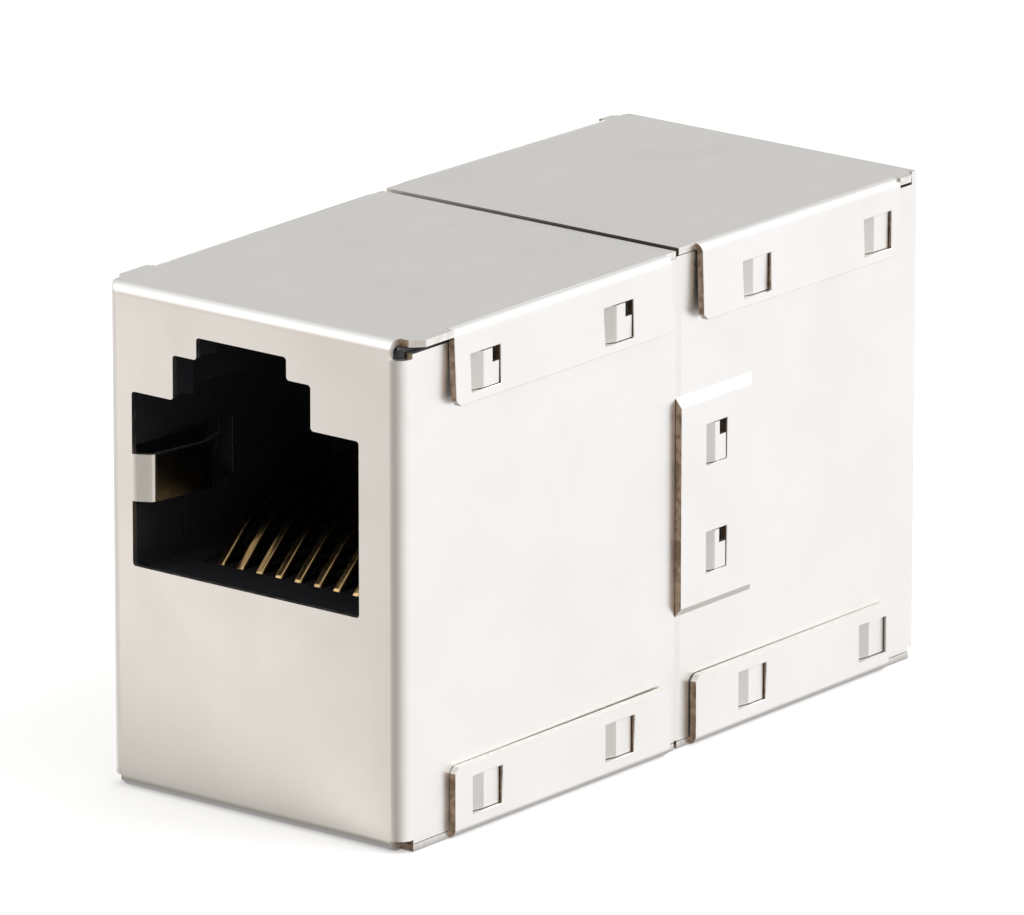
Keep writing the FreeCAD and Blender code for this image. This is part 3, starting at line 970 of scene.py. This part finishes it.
@dataclass(frozen=True)
class Softbox:
    """A flat lamp.

    Attributes:
        name: The lamp's name.
        place: Its middle, in metres.
        aim: The point that it faces, in metres.
        size: Width and height in metres.
        power: Watts.
        colour: Its colour.
    """

    name: str
    place: Point
    aim: Point
    size: tuple[float, float]
    power: float
    colour: Colour = WHITE

    def build(self) -> None:
        """Makes the lamp."""
        lamp = bpy.data.lights.new(self.name, "AREA")
        lamp.shape = "RECTANGLE"
        lamp.size, lamp.size_y = self.size
        lamp.energy = self.power
        lamp.color = self.colour
        holder = bpy.data.objects.new(self.name, lamp)
        holder.location = self.place
        holder.rotation_euler = (Vector(self.aim) - Vector(self.place)).to_track_quat(
            "-Z", "Y").to_euler()
        bpy.context.scene.collection.objects.link(holder)


@dataclass
class Studio:
    """Pale floor, soft lamps, a bright surround and the camera.

    Polished metal shows its whole surroundings, so the room around the coupler has a
    light of its own in each direction, as a room has whose lamps stand on one side.

    Attributes:
        floor_size: Length of the floor's sides, in metres.
        floor_drop: Gap between the coupler and the floor, in millimetres.
        floor_colour: Its colour.
        floor_lift: Glow that takes it to white behind the coupler.
        mirrored_shade: Share of its own shading that polished metal shows.
        near_corner: The coupler's nearest corner, from which the floor's light turns.
        room: Compass angle in degrees from +X, and the light from there near the floor.
        high_light: Light of the room overhead.
        heights: Heights, from 0 to 1, between which that takes over from the light around.
        low_light: Light that polished metal gets from straight below.
        depths: Depths, from 0 to -1, between which that takes over.
        open_side: Distances to the right, in metres, between which the floor lets the
            room's own light through to polished metal.
        footprint: Half the coupler's width and length, in metres.
        shaded_rim: Distances from the footprint, in metres, across which its shade ends.
        rim_light: Share of the light that the floor gives where that shade is deepest.
        camera_place: The camera's place in metres.
        camera_forward: Where it looks.
        camera_right: Its picture's right.
        focal_length: Focal length of its lens in millimetres.
        sensor_width: Width of its sensor in millimetres.
        clip: Nearest and farthest distance that it sees, in metres.
        shift: How far its lens is shifted, in widths of the picture.
        lamps: The lamps.
    """

    floor_size: float = 4.0
    floor_drop: float = 0.02
    floor_colour: Colour = (0.74, 0.74, 0.74)
    floor_lift: float = 0.34
    mirrored_shade: float = 0.12
    near_corner: Point = (0.0077, -0.0175, 0.0)
    room: tuple[tuple[float, Colour], ...] = (
        (-180.0, (0.66, 0.62, 0.57)),
        (-165.0, (0.80, 0.745, 0.685)),
        (-154.0, (0.88, 0.82, 0.755)),
        (-147.0, (1.24, 1.155, 1.065)),
        (-138.0, (0.97, 0.92, 0.865)),
        (-128.0, (0.77, 0.733, 0.695)),
        (-118.0, (0.60, 0.56, 0.51)),
        (-104.0, (0.38, 0.35, 0.31)),
        (-72.0, (0.36, 0.335, 0.295)),
        (-52.0, (0.54, 0.515, 0.47)),
        (-36.0, (0.74, 0.72, 0.68)),
        (-20.0, (0.90, 0.885, 0.855)),
        (-5.0, (1.05, 1.04, 1.02)),
        (20.0, (1.14, 1.13, 1.125)),
        (85.0, (1.14, 1.13, 1.145)),
        (120.0, (0.58, 0.575, 0.56)),
        (150.0, (0.56, 0.555, 0.54)),
        (180.0, (0.66, 0.62, 0.57)),
    )
    high_light: Colour = WHITE
    heights: tuple[float, float] = (0.35, 0.85)
    low_light: Colour = (0.32, 0.30, 0.27)
    depths: tuple[float, float] = (-0.36, -0.75)
    open_side: tuple[float, float] = (0.0078, 0.0084)
    footprint: tuple[float, float] = (0.0077, 0.0175)
    shaded_rim: tuple[float, float] = (0.0, 0.0022)
    rim_light: float = 0.4
    camera_place: Point = (0.28623, -0.36325, 0.14651)
    camera_forward: Point = (-0.594837, 0.753221, -0.280762)
    camera_right: Point = (0.784673, 0.619909, 0.000624)
    focal_length: float = 407.59
    sensor_width: float = 36.0
    clip: tuple[float, float] = (0.01, 50.0)
    shift: tuple[float, float] = (0.0027344, 0.0025391)
    lamps: tuple[Softbox, ...] = (
        Softbox("key_softbox", (0.9, 0.5, 1.1), (0.0, 0.0, 0.0), (0.9, 0.9), 8.0),
        Softbox("fill_softbox", (-0.9, -0.7, 0.9), (0.0, 0.0, 0.0), (1.0, 1.0), 2.5),
    )

    def build(self) -> None:
        """Sets up the floor, lamps, surround, camera and view."""
        self.floor()
        for lamp in self.lamps:
            lamp.build()
        self.surround()
        self.camera()
        bpy.context.scene.view_settings.view_transform = "Standard"

    def light_around(self, graph: Graph, direction: bpy.types.NodeSocket) -> bpy.types.NodeSocket:
        """The room's light near the floor, in one direction.

        Args:
            graph: The graph to add to.
            direction: Vector towards it.

        Returns:
            A colour output.
        """
        apart = graph.apart(direction)
        angle = graph.maths("ARCTAN2", apart["Y"], apart["X"])
        turn = graph.span(angle, (-math.pi, math.pi), smooth=False)
        ramp = graph.node("ShaderNodeValToRGB")
        ramp.color_ramp.interpolation = "EASE"
        stops = ramp.color_ramp.elements
        ends = {0: stops[0], len(self.room) - 1: stops[1]}
        for number, (compass, colour) in enumerate(self.room):
            stop = ends.get(number) or stops.new((compass + HALF_TURN) / (2 * HALF_TURN))
            stop.color = (*colour, 1.0)
        graph.feed(ramp.inputs["Fac"], turn)
        return ramp.outputs["Color"]

    def floor(self) -> None:
        """Lays the floor under the coupler."""
        half = self.floor_size / 2
        mesh = bpy.data.meshes.new("floor")
        corners = [(-half, -half), (half, -half), (half, half), (-half, half)]
        mesh.from_pydata([(x, y, -self.floor_drop * MM) for x, y in corners], [], [(0, 1, 2, 3)])
        made = bpy.data.objects.new("floor", mesh)
        bpy.context.scene.collection.objects.link(made)
        made.data.materials.append(self.floor_finish())

    def floor_finish(self) -> bpy.types.Material:
        """Builds the floor's finish, which polished metal sees as part of the room.

        Returns:
            The new material.
        """
        material, graph = new_material("pale_floor")
        path = graph.node("ShaderNodeLightPath").outputs
        mirrored = graph.maths("MAXIMUM", path["Is Glossy Ray"], path["Is Transmission Ray"])
        lift = graph.maths("MULTIPLY", path["Is Camera Ray"], self.floor_lift)
        both = graph.mix_shaders(graph.maths("MULTIPLY", mirrored, 1.0 - self.mirrored_shade),
                                 self.floor_seen(graph, lift), self.floor_mirrored(graph))
        output = graph.node("ShaderNodeOutputMaterial")
        graph.feed(output.inputs["Surface"], both)
        return material

    def floor_seen(self, graph: Graph, lift: bpy.types.NodeSocket) -> bpy.types.NodeSocket:
        """The floor as the camera and matt surfaces get it.

        Args:
            graph: The graph to add to.
            lift: Strength of its own glow.

        Returns:
            A shader output.
        """
        diffuse = graph.node("ShaderNodeBsdfDiffuse")
        graph.feed(diffuse.inputs["Color"], self.floor_colour)
        glow = graph.node("ShaderNodeEmission")
        graph.feed(glow.inputs["Color"], WHITE)
        graph.feed(glow.inputs["Strength"], lift)
        seen = graph.node("ShaderNodeAddShader")
        graph.feed(seen.inputs[0], diffuse.outputs[0])
        graph.feed(seen.inputs[1], glow.outputs[0])
        return seen.outputs[0]

    def floor_mirrored(self, graph: Graph) -> bpy.types.NodeSocket:
        """The floor as polished metal gets it: shaded at the coupler's foot, open beside it.

        Args:
            graph: The graph to add to.

        Returns:
            A shader output.
        """
        place = graph.place.outputs["Object"]
        from_corner = graph.node("ShaderNodeVectorMath", operation="SUBTRACT")
        graph.feed(from_corner.inputs[0], place)
        graph.feed(from_corner.inputs[1], self.near_corner)
        apart = graph.apart(place)
        beyond = [graph.maths("SUBTRACT", graph.maths("ABSOLUTE", apart[axis]), half_size)
                  for axis, half_size in zip("XY", self.footprint)]
        room = graph.node("ShaderNodeEmission")
        graph.feed(room.inputs["Color"], self.light_around(graph, from_corner.outputs["Vector"]))
        graph.feed(room.inputs["Strength"],
                   graph.span(graph.maths("MAXIMUM", *beyond), self.shaded_rim,
                              (self.rim_light, 1.0)))
        through = graph.node("ShaderNodeBsdfTransparent")
        return graph.mix_shaders(graph.span(apart["X"], self.open_side), room.outputs[0],
                                 through.outputs[0])

    def surround(self) -> None:
        """Lights the scene from a pale surround that shows white behind the coupler."""
        world = bpy.data.worlds.new("surround")
        bpy.context.scene.world = world
        world.use_nodes = True
        graph = Graph(world.node_tree)
        direction = graph.place.outputs["Generated"]
        upward = graph.apart(direction)["Z"]
        height = graph.span(upward, self.heights)
        depth = graph.span(upward, self.depths)
        around = graph.mix(depth, self.light_around(graph, direction), self.low_light)
        overhead = graph.mix(height, around, self.high_light)
        path = graph.node("ShaderNodeLightPath").outputs
        colour = graph.mix(path["Is Camera Ray"], overhead, WHITE)
        glow = graph.node("ShaderNodeBackground")
        graph.feed(glow.inputs["Color"], colour)
        output = graph.node("ShaderNodeOutputWorld")
        graph.feed(output.inputs["Surface"], glow.outputs[0])

    def camera(self) -> None:
        """Places the camera and makes it the scene's own."""
        lens = bpy.data.cameras.new("camera")
        lens.sensor_fit = "HORIZONTAL"
        lens.sensor_width = self.sensor_width
        lens.lens = self.focal_length
        lens.shift_x, lens.shift_y = self.shift
        lens.clip_start, lens.clip_end = self.clip
        holder = bpy.data.objects.new("camera", lens)
        forward, right = Vector(self.camera_forward), Vector(self.camera_right)
        up = right.cross(forward)
        turn = Matrix((right, up, -forward)).transposed().to_4x4()
        holder.matrix_world = Matrix.Translation(self.camera_place) @ turn
        bpy.context.scene.collection.objects.link(holder)
        bpy.context.scene.camera = holder


def describe(title: str, pieces: Iterable[bpy.types.Object]) -> None:
    """Logs each piece with its number of faces.

    Args:
        title: Name of the sub-assembly.
        pieces: Its pieces.
    """
    for piece in pieces:
        LOG.info("%s: %s, %d faces", title, piece.name, len(piece.data.polygons))


def main() -> None:
    """Builds the coupler and its studio."""
    logging.basicConfig(level=logging.INFO, format="%(message)s")
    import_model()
    describe("shield case", ShieldCase().build())
    describe("jacks", Jacks().build())
    describe("contacts", Contacts().build())
    describe("board", BoardStack().build())
    Studio().build()


if __name__ == "__main__":
    main()
